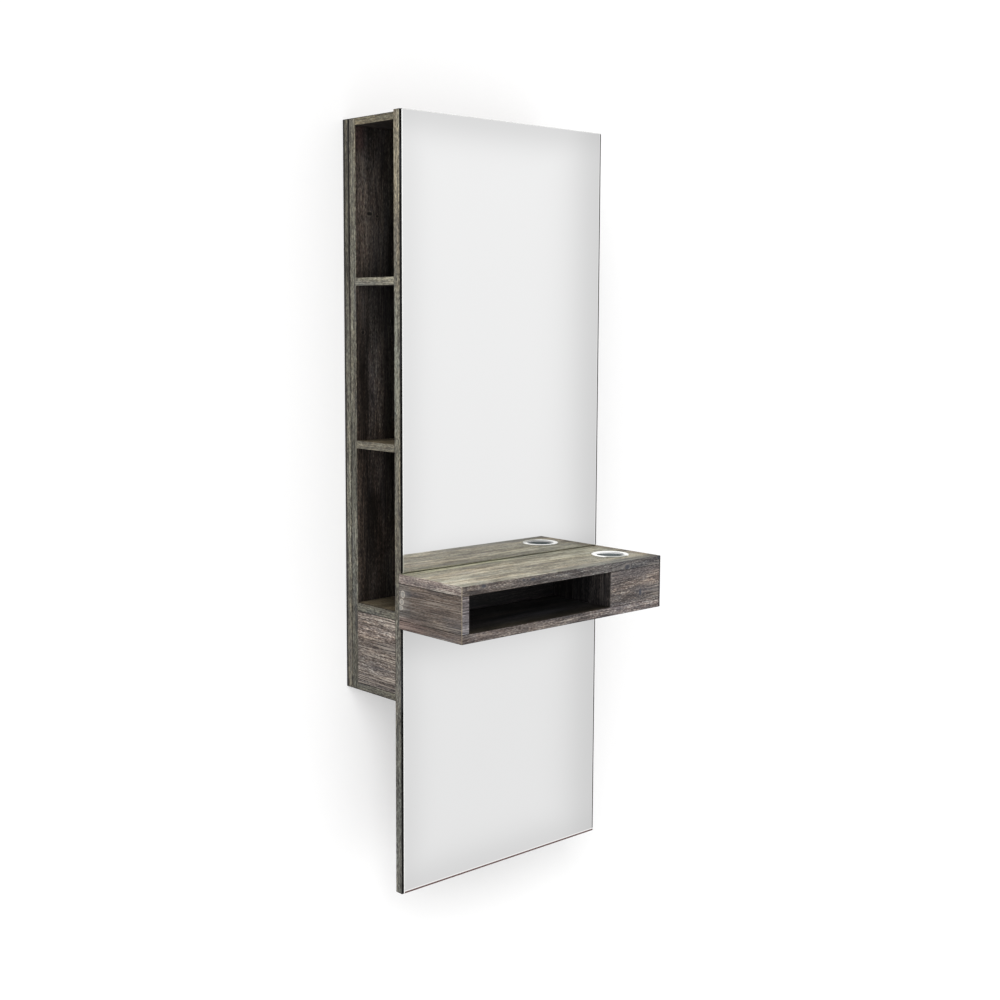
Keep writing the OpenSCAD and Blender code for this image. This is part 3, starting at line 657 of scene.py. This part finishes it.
def round_over(bm, box, butts):
    """Rounds the long edges of the board's box, apart from those of its butting ends."""
    rims = []
    for e in bm.edges:
        if len(e.link_faces) == 2:
            ways = {outer_way(f, box) for f in e.link_faces}
            if None not in ways and len(ways) == 2 and not ways & set(butts):
                rims.append(e)
    bmesh.ops.bevel(bm, geom=rims, offset=ARRIS, offset_type="OFFSET", affect="EDGES",
                    segments=3, profile=0.5, material=-1, clamp_overlap=True)


def crease(bm):
    """Keeps an edge sharp where its two faces turn by more than a bevel's step."""
    for e in bm.edges:
        e.smooth = len(e.link_faces) == 2 and e.calc_face_angle(0) < SHARP


print("board helpers ready, with arrises of", ARRIS / MM, "mm")

# %% [markdown]
# faced() then gives each side of a board its finish. It looks at where a face lies: on a side of
# the board's box, on the rounding between two sides, or inside, where a drilling shows the core.

# %% Give each side its finish
def faced(node, sides, butts=(), arrises=()):
    """A rounded board with a finish for each side. A side that isn't named takes "*". arrises says
    which finish the rounded edge between two sides takes, where it isn't the near-black seam of
    painted shade."""
    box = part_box(node)
    bm = squared_copy(node, box)
    round_over(bm, box, butts)
    kinds = []
    for f in bm.faces:
        way = outer_way(f, box)
        middle = f.calc_center_median()
        near = {w for w, (i, end) in WAYS.items() if abs(middle[i] - box[end][i]) < ARRIS}
        if way:
            kinds.append(sides.get(way, sides["*"]))
        elif len(near) >= 2:
            kinds.append(next((k for pair, k in arrises if set(pair) <= near), "seam"))
        else:
            kinds.append("core")
        f.smooth = not way
    names = sorted(set(kinds))
    for f, kind in zip(bm.faces, kinds):
        f.material_index = names.index(kind)
    crease(bm)
    piece = as_piece("faced_" + node, bm, [finishes[n] for n in names])
    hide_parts(node)


def as_piece(name, bm, materials):
    """A bmesh as an object of the scene that rides on the one body."""
    mesh = bpy.data.meshes.new(name)
    bm.to_mesh(mesh)
    bm.free()
    for m in materials:
        mesh.materials.append(m)
    piece = bpy.data.objects.new(name, mesh)
    bpy.context.scene.collection.objects.link(piece)
    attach(piece, "root")
    return piece


print("faced() is ready for", len(frame["nodes"]), "nodes")

# %% [markdown]
# ## The tower
# Seen from the side, the tower is a stack of upright edges and shelf edges. Their print runs along
# each edge, so an upright has vertical streaks and a shelf has level ones.

# %% Face the uprights
upright = {"-x": "edge_up", "+x": "edge_up", "-z": "edge_wide", "+z": "edge_wide", "*": "panel"}
faced("wall_board", {**upright, "-x": "edge_wall", "+x": "edge_wall"},
      arrises=[(("-x", "-y"), "edge_wall"), (("+x", "-y"), "edge_wall")])
faced("back_panel", {**upright, "-x": "edge_back", "+x": "edge_back", "-y": "lining"},
      arrises=[(("-x", "-y"), "edge_back"), (("+x", "-y"), "edge_back")])
faced("mirror_board", {**upright, "-y": "reveal", "+y": "lining"},
      arrises=[(("-x", "+y"), "edge_up"), (("+x", "+y"), "edge_up"), (("-y",), "reveal")])
faced("centre_divider", {"*": "lining"}, butts=("-y", "+y", "-z", "+z"))
print("uprights faced")

# %% Face the shelves and the plinth
level_board = {"-x": "edge_out", "+x": "edge_out", "+z": "ledge", "*": "ceiling"}
low_board = {**level_board, "-x": "edge_low", "+x": "edge_low"}
joints = ("-y", "+y")
lips = [(("-x",), "edge_out"), (("+x",), "edge_out")]
faced("top_panel", {**level_board, "-x": "edge_top", "+x": "edge_top", "+z": "edge_wide"}, joints)
faced("bottom_panel", {**low_board, "-z": "front"}, joints)
faced("plinth_top", low_board, joints)
for height in ("upper", "lower"):
    faced(f"left_{height}_shelf", level_board, (*joints, "+x"), arrises=lips)
    faced(f"right_{height}_shelf", level_board, (*joints, "-x"), arrises=lips)
for side in ("left", "right"):
    faced(f"{side}_plinth_panel", {"*": "plinth"}, (*joints, "-z", "+z"))
print("shelves and plinth faced")

# %% [markdown]
# ## The worktop box
# The top and base lap over the side boards, so each shows its own thin edge, and the front is
# closed only at the right, where the steel holder hangs.

# %% Face the worktop
lap = {"-y": "front", "+y": "front", "-x": "side", "+x": "side"}
corner = [(("-x", "-y"), "worn")]
rounded = [*corner, (("-y", "+z"), "front"), (("-x", "+z"), "end")]
butts = ("-z", "+z")
faced("worktop_top", {**lap, "-x": "end", "+z": "deck", "*": "cubby_floor"}, ("+y",),
      rounded)
faced("worktop_base", {**lap, "-z": "front", "*": "cubby_floor"}, ("+y",), corner)
faced("worktop_left_side", {"-x": "side", "-y": "stile", "*": "cubby"}, ("+y", *butts),
      corner)
faced("worktop_right_side", {"+x": "side", "*": "cubby"}, ("-y", "+y", *butts))
faced("worktop_divider", {"*": "cubby_end"}, ("-y", "+y", *butts))
faced("worktop_front_panel", {"-y": "front", "+x": "stile", "*": "cubby_end"}, butts,
      [(("-x", "-y"), "front")])
faced("worktop_back", {"*": "cubby"}, ("-x", "+x", "+y", *butts))
print("worktop faced")

# %% [markdown]
# ## Mirror glass
# A pane is float glass with silver behind it. Its face mirrors the room, its ground edge looks
# nearly black, and the polished arris between them is painted near white as a highlight line. The
# silver is given to the front face, so the reflection meets the worktop with no double image. Its
# colour carries painted shade: brightest in the middle and dimmed towards the rim in a bell curve.
# Along the right side, where one looks through the glass at its own dark edge, a thin painted dark
# line closes it, with a painted white line inside it. The lower pane has a brown line at its foot
# with a painted white line above it, and the upper pane a pale one where it stands on the worktop.

# %% The silver
def gap_to(axis, box, way):
    """How far a point lies from one side of a box, in metres and with its sign."""
    i, end = WAYS[way]
    return axis["xyz"[i]] - box[end][i]


def silver_finish(name, box, dims, rims):
    """dims holds, for each side, how much painted shade darkens the silver at the edge and how far
    in, in millimetres, and rims how strong the painted white line along it is, how wide the dark
    one beyond and in which colour. The shades meet as the root of their squares, so that a corner
    isn't twice as dark as an edge."""
    made, start = begin(name)
    place, axis = object_axes(start)
    cloud = start.noise(place, 3, 0.55, 2.2)
    colour = cloud.ramp((0.2, (0.897, 0.897, 0.898)), (0.8, (0.905, 0.906, 0.906)))
    squares = 0.0
    for way, (loss, reach) in dims.items():
        gap = gap_to(axis, box, way) / (reach * MM)
        squares = (gap * gap * -2).exp() * loss ** 2 + squares
    left = 1 - squares ** 0.5
    colour = colour.tint(start.vector(left, left, left), 1.0, "MULTIPLY")
    for way, (light, line, dark) in rims.items():
        gap = gap_to(axis, box, way).size()
        colour = colour.tint(WHITE, gap.step((line + 3.5) * MM, (line + 1.9) * MM) * light)
        colour = colour.tint(srgb(*dark), gap.step((line + 0.4) * MM, line * MM))
    close(start, colour, cloud.step(0.3, 0.8, 0.004, 0.02), Metallic=1.0)
    return made


print("silver_finish() dims a pane towards its rims")

# %% [markdown]
# The edges and their arrises don't look alike all the way round. The arris's painted highlight is
# darker along the top and tinted with a painted reflection of the worktop near it, and the foot of
# the upper pane's edge has the deck's grey painted on as a reflection.

# %% The edges and the back
deck, glass_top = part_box("worktop_top")[1].z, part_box("upper_mirror")[1].z


def ground_edge_finish():
    made, start = begin("ground_glass_edge")
    place, axis = object_axes(start)
    grind = start.noise(place, 3, 0.6, 900)
    colour = grind.ramp((0.2, srgb(5, 4, 5)), (0.8, srgb(16, 14, 15)))
    deck_reflection_band = between(axis, ("z", deck - 4 * MM, deck - 2 * MM),
                          ("z", deck + 6 * MM, deck + 4 * MM))
    colour = colour.tint(srgb(112, 110, 102), deck_reflection_band)
    close(start, colour, 0.35 + grind * 0.2, grind, relief=0.1, **{"Specular IOR Level": 0.05})
    return made


def polished_arris_finish():
    made, start = begin("polished_glass_arris")
    place, axis = object_axes(start)
    shade = start.noise(place, 2, 0.5, 60)
    # The near-white colour is a painted highlight.
    colour = shade.ramp((0.2, srgb(240, 240, 238)), (0.8, srgb(252, 252, 250)))
    crown = between(axis, ("z", glass_top - 2.5 * MM, glass_top - 1.8 * MM))
    colour = colour.tint(0.46, crown, "MULTIPLY")
    worktop_reflection = between(axis, ("z", deck + 46 * MM, deck + 40 * MM),
                          ("z", deck - 9 * MM, deck - 4 * MM))
    colour = colour.tint((0.42, 0.41, 0.35), worktop_reflection, "MULTIPLY")
    close(start, colour, 0.2 + shade * 0.1)
    return made


backing = mottled("mirror_backing_paint", (4, 0.6, 40), (98, 104, 110), (126, 132, 137), rough=0.5,
                  vary=0.2, spread=0.25, relief=0.15)
glass = [ground_edge_finish(), polished_arris_finish(), backing]
print("glass has", len(glass) + 1, "finishes")

# %% Cut and polish the panes
POLISH = 1.6 * MM
SILVER, GROUND, POLISHED, BACKING = range(4)


def pane(node, dims, rims):
    """A pane with a flat 45 degree polish on its four front and four back edges. The polish takes
    the painted white highlight, but on the right and at the foot, where it faces the dark side of
    the room, it takes the nearly black edge finish as painted shade."""
    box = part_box(node)
    bm = squared_copy(node, box)
    edges = [e for e in bm.edges
             if {outer_way(f, box) for f in e.link_faces} & {"-y", "+y"} and e.is_manifold]
    bmesh.ops.bevel(bm, geom=edges, offset=POLISH, offset_type="OFFSET", affect="EDGES",
                    segments=1, profile=0.5, material=-1, clamp_overlap=True)
    indices = {"-y": SILVER, "+y": BACKING, None: POLISHED}
    for f in bm.faces:
        f.material_index = indices.get(outer_way(f, box), GROUND)
        if f.material_index == POLISHED and (f.normal.x > 0.5 or f.normal.z < -0.5):
            f.material_index = GROUND
    silver = silver_finish(node + "_silver", box, dims, rims)
    piece = as_piece("polished_" + node, bm, [silver, *glass])
    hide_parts(node)


dark_line, brown_line, pale_line = (20, 14, 18), (122, 96, 92), (196, 196, 188)
pane("upper_mirror", {"-x": (0.095, 60), "+x": (0.235, 110), "+z": (0.185, 60), "-z": (0.20, 48)},
     {"+x": (0.4, 4.5, dark_line), "-z": (0.0, 3.2, pale_line)})
pane("lower_mirror", {"-x": (0.10, 60), "+x": (0.20, 110), "+z": (0.24, 80), "-z": (0.14, 70)},
     {"+x": (0.3, 4.5, dark_line), "-z": (1.0, 4.7, brown_line)})
print("two panes cut")

# %% [markdown]
# ## The steel holder
# The holder is a spun tube with a flange that lies on the worktop. Its section is a bent strip, so
# we draw the strip's outline once, round its corners with a vertex bevel and spin it through a
# full turn. The flange has a pale satin polish and the tube is brushed round and round.

# %% Steel finishes
BRUSHES = {"x": (4, 900, 900), "y": (900, 4, 900), "z": (900, 900, 4), "round": (6, 6, 1500)}
low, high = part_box("tool_holder")
hub = (low + high) / 2


def steel(name, light, dark, rough, brush, metallic=1.0, painted_lip_highlight=False, painted_front_reflection=False):
    """Bright metal with fine brush lines along one axis, or round a tube. The tube's lip where it
    meets the flange is painted white as a highlight, and the flange's front carries a painted dark
    reflection apart from its right end."""
    made, start = begin(name)
    place, axis = object_axes(start)
    drawn_out = [axis[k] * stretch for k, stretch in zip("xyz", BRUSHES[brush])]
    lines = start.noise(start.vector(*drawn_out), 3, 0.6)
    smear = start.noise(place, 3, 0.55, 35)
    colour = lines.ramp((0.3, srgb(*dark)), (0.7, srgb(*light)))
    if painted_lip_highlight:
        lip_highlight_mask = between(axis, ("z", deck - 2.1 * MM, deck - 1.8 * MM))
        colour = colour.tint(WHITE, lip_highlight_mask)
        metallic = metallic - lip_highlight_mask * metallic
    if painted_front_reflection:
        front_reflection_mask = between(axis, ("y", hub.y - 16 * MM, hub.y - 26 * MM),
                         ("x", hub.x + 26 * MM, hub.x + 8 * MM))
        colour = colour.tint((0.36, 0.36, 0.33), front_reflection_mask, "MULTIPLY")
    roughness = rough + (lines - 0.5) * 0.12 + (smear - 0.5) * 0.1
    close(start, colour, roughness, lines, relief=0.12, depth=0.1 * MM, Metallic=metallic)
    return made


flange_steel = steel("satin_flange_steel", (253, 253, 250), (246, 246, 243), 0.3, "x",
                     metallic=0.2, painted_front_reflection=True)
tube_steel = steel("brushed_tube_steel", (168, 176, 177), (124, 131, 132), 0.3, "round",
                   metallic=0.85, painted_lip_highlight=True)
print("steel finishes made")

# %% Spin the holder
mount = next(m for m in frame["record"]["mounts"] if m["name"] == "tool_holder")
bore, rim = mount["dims"]["r_mm"] * MM, (high.x - low.x) / 2
skin, roll = 1.5 * MM, 0.7 * MM
section = [(bore, low.z), (bore + skin, low.z), (bore + skin, deck), (rim, deck), (rim, high.z),
           (bore, high.z)]
bm = bmesh.new()
strip = [bm.verts.new((hub.x + r, hub.y, z)) for r, z in section]
for i, v in enumerate(strip):
    bm.edges.new((v, strip[i - 1]))
bmesh.ops.bevel(bm, geom=strip[3:] + strip[:2], offset=roll, offset_type="OFFSET",
                affect="VERTICES", segments=4, profile=0.5, material=-1, clamp_overlap=True)
bmesh.ops.spin(bm, geom=bm.verts[:] + bm.edges[:], cent=hub, axis=(0, 0, 1), dvec=(0, 0, 0),
               angle=2 * pi, steps=128, use_merge=True)
bmesh.ops.remove_doubles(bm, verts=bm.verts, dist=TOUCHING / 4)
bmesh.ops.recalc_face_normals(bm, faces=bm.faces)
for f in bm.faces:
    f.smooth = True
    f.material_index = 0 if f.calc_center_median().z > deck else 1
crease(bm)
holder = as_piece("spun_tool_holder", bm, [flange_steel, tube_steel])
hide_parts("tool_holder")
print("holder spun with", len(holder.data.polygons), "faces")

# %% [markdown]
# ## Hardware
# Rails, cam locks, screws, bolts and dowels are small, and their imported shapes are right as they
# are. They only need real finishes: drawn aluminium, zinc plate, cast zinc, brass and beech, with
# black foam for the tape.

# %% Finish the hardware
def finish_nodes(finish, *nodes):
    """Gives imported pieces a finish, in every slot that they have."""
    for node in nodes:
        for its_slot in frame["nodes"][node].material_slots:
            its_slot.material = finish
    print(finish.name, "on", *nodes)


finish_nodes(mottled("foam_tape", (2, 0.5, 1400), (22, 22, 24), (48, 48, 51), rough=0.8, vary=0.15,
                     relief=0.5, depth=0.2 * MM), "mirror_tape")
finish_nodes(mottled("cast_zinc", (4, 0.65, 700), (128, 130, 133), (176, 178, 180), rough=0.45,
                     vary=0.2, depth=0.2 * MM, Metallic=1.0), "cam_locks")
finish_nodes(mottled("beech_dowel", (4, 0.6, 300), (176, 138, 96), (222, 190, 146), rough=0.6,
                     vary=0.15, spread=0.25), "carcass_dowels", "worktop_dowels")
finish_nodes(steel("turned_brass", (214, 184, 112), (182, 148, 80), 0.3, "y"), "threaded_inserts")
finish_nodes(steel("drawn_aluminium", (208, 210, 213), (184, 187, 191), 0.34, "x"),
             "wall_rails", "unit_rails")
finish_nodes(steel("zinc_plate", (196, 199, 204), (160, 164, 170), 0.3, "z"),
             "rail_screws", "cam_bolts", "base_screws", "worktop_bolts", "bolt_washers")

# %% [markdown]
# ## Floor and wall
# The station hangs on a white wall. One sheet bends from floor to wall, so no corner line shows.
# It is white to the camera but keeps the soft shadow round the boards: its shader adds just enough
# of its own light to what the room gives it. The softboxes are kept off it, because they would
# drown that shadow. It has a wide lamp of its own from the left, so that the shadow lies mostly to
# the right. Seen from behind it is clear, as a wall would be taken away to photograph the back.

# %% The backdrop's finish
ALBEDO, MORE_WHEN_SEEN, GLOW = 0.49, 0.12, 0.39


def backdrop_finish():
    made, start = begin("white_backdrop")
    ray = start.node("ShaderNodeLightPath")
    seen = ray["Is Camera Ray"].most(ray["Is Glossy Ray"]).most(ray["Is Transmission Ray"])
    albedo = ALBEDO + seen * MORE_WHEN_SEEN
    grey = start.vector(albedo, albedo, albedo)
    pale = start.node("ShaderNodeBsdfDiffuse", None, {"Color": grey})
    glow = start.node("ShaderNodeEmission", None, {"Color": (*WHITE, 1), "Strength": GLOW})
    front = start.node("ShaderNodeAddShader", None, {0: pale, 1: glow})
    behind = start.node("ShaderNodeNewGeometry", out="Backfacing")
    clear = start.node("ShaderNodeBsdfTransparent")
    surface = start.node("ShaderNodeMixShader", None, {0: behind, 1: front, 2: clear})
    start.node("ShaderNodeOutputMaterial", None, {"Surface": surface})
    return made


print("backdrop glows with", GLOW)

# %% Sweep the backdrop
DROP, REACH, WALL_TOP, COVE = 0.5, 9, 5, 0.6
floor_z, wall_y = cad_low.z - DROP, cad_high.y + 1 * MM
bm = bmesh.new()
profile = [(-REACH, floor_z), (wall_y, floor_z), (wall_y, WALL_TOP)]
foot_of_wall = [bm.verts.new((-REACH, y, z)) for y, z in profile]
for a, b in zip(foot_of_wall, foot_of_wall[1:]):
    bm.edges.new((a, b))
bmesh.ops.bevel(bm, geom=[foot_of_wall[1]], offset=COVE, offset_type="OFFSET", affect="VERTICES",
                segments=24, profile=0.5, material=-1, clamp_overlap=True)
swept = bmesh.ops.extrude_edge_only(bm, edges=bm.edges[:])
bmesh.ops.translate(bm, verts=[v for v in swept["geom"] if isinstance(v, bmesh.types.BMVert)],
                    vec=(2 * REACH, 0, 0))
for f in bm.faces:
    f.smooth = True
    f.normal_update()
    if f.normal.z - f.normal.y < 0:
        f.normal_flip()
mesh = bpy.data.meshes.new("backdrop")
bm.to_mesh(mesh)
bm.free()
mesh.materials.append(backdrop_finish())
backdrop = bpy.data.objects.new("backdrop", mesh)
backdrop.visible_glossy = False
bpy.context.scene.collection.objects.link(backdrop)
print("backdrop has", len(mesh.polygons), "faces")

# %% [markdown]
# ## Room and lamps
# A pale room lights the station evenly. Rays that the camera sees go to pure white. What the
# mirror shows is a shade less than white and a little greyer towards the floor.

# %% The room
world = bpy.data.worlds.new("studio")
world.use_nodes = True
world.node_tree.nodes.clear()
bpy.context.scene.world = world
room = Wire(world.node_tree)

heading = room.node("ShaderNodeTexCoord", out="Generated")
parts = room.node("ShaderNodeSeparateXYZ", None, {0: heading})
levels = (0.40, 0.875), (0.43, 0.93), (0.50, 0.95), (0.56, 0.97)
mirrored = (parts["Z"] * 0.5 + 0.5).ramp(*[(place, (level,) * 3) for place, level in levels])

AMBIENT = 0.62
ray = room.node("ShaderNodeLightPath")
ambient, white, reflected = (
    room.node("ShaderNodeBackground", None, {"Color": colour, "Strength": strength})
    for colour, strength in (((*WHITE, 1), AMBIENT), ((*WHITE, 1), 1.0), (mirrored, 1.0)))
clear = ray["Is Camera Ray"].most(ray["Is Transmission Ray"])
lit = room.node("ShaderNodeMixShader", None, {0: ray["Is Glossy Ray"], 1: ambient, 2: reflected})
shown = room.node("ShaderNodeMixShader", None, {0: clear, 1: lit, 2: white})
room.node("ShaderNodeOutputWorld", None, {"Surface": shown})
print("room made")

# %% The lamps
def only(name, state):
    """A light's list of receivers that leaves the backdrop out, or holds nothing else."""
    listed = bpy.data.collections.new(name)
    listed.objects.link(backdrop)
    listed.collection_objects[0].light_linking.link_state = state
    return listed


object_only, wall_only = only("object_only", "EXCLUDE"), only("wall_only", "INCLUDE")


def hang(light, way, receivers, place=(0, 0, 0)):
    """Puts a light at a place, to shine one way on its receivers only. No mirror shows it."""
    lamp = bpy.data.objects.new(light.name, light)
    lamp.location = place
    lamp.rotation_euler = Vector(way).to_track_quat("-Z", "Y").to_euler()
    lamp.visible_glossy = False
    lamp.light_linking.receiver_collection = receivers
    bpy.context.scene.collection.objects.link(lamp)


def softbox(name, place, aim, size, watts):
    light = bpy.data.lights.new(name, "AREA")
    light.shape, light.size, light.size_y, light.energy = "RECTANGLE", *size, watts
    hang(light, Vector(aim) - Vector(place), object_only, place)


softbox("overhead_softbox", place=(0.5, -1.3, 2.6), aim=(0.1, -0.3, 0), size=(3.0, 2.4), watts=88)
softbox("front_softbox", place=(-1.2, -3.8, 0.8), aim=(0, -0.2, -0.2), size=(2.4, 2.4), watts=26)

wash = bpy.data.lights.new("wall_wash", "SUN")
wash.angle, wash.energy = radians(50), 2.2
hang(wash, (0.606, 0.565, -0.560), wall_only)
print("two softboxes and a wall light hung")

# %% [markdown]
# ## Close
# The colours above were picked for a plain view transform.

# %% Finish
bpy.context.scene.view_settings.view_transform = "Standard"
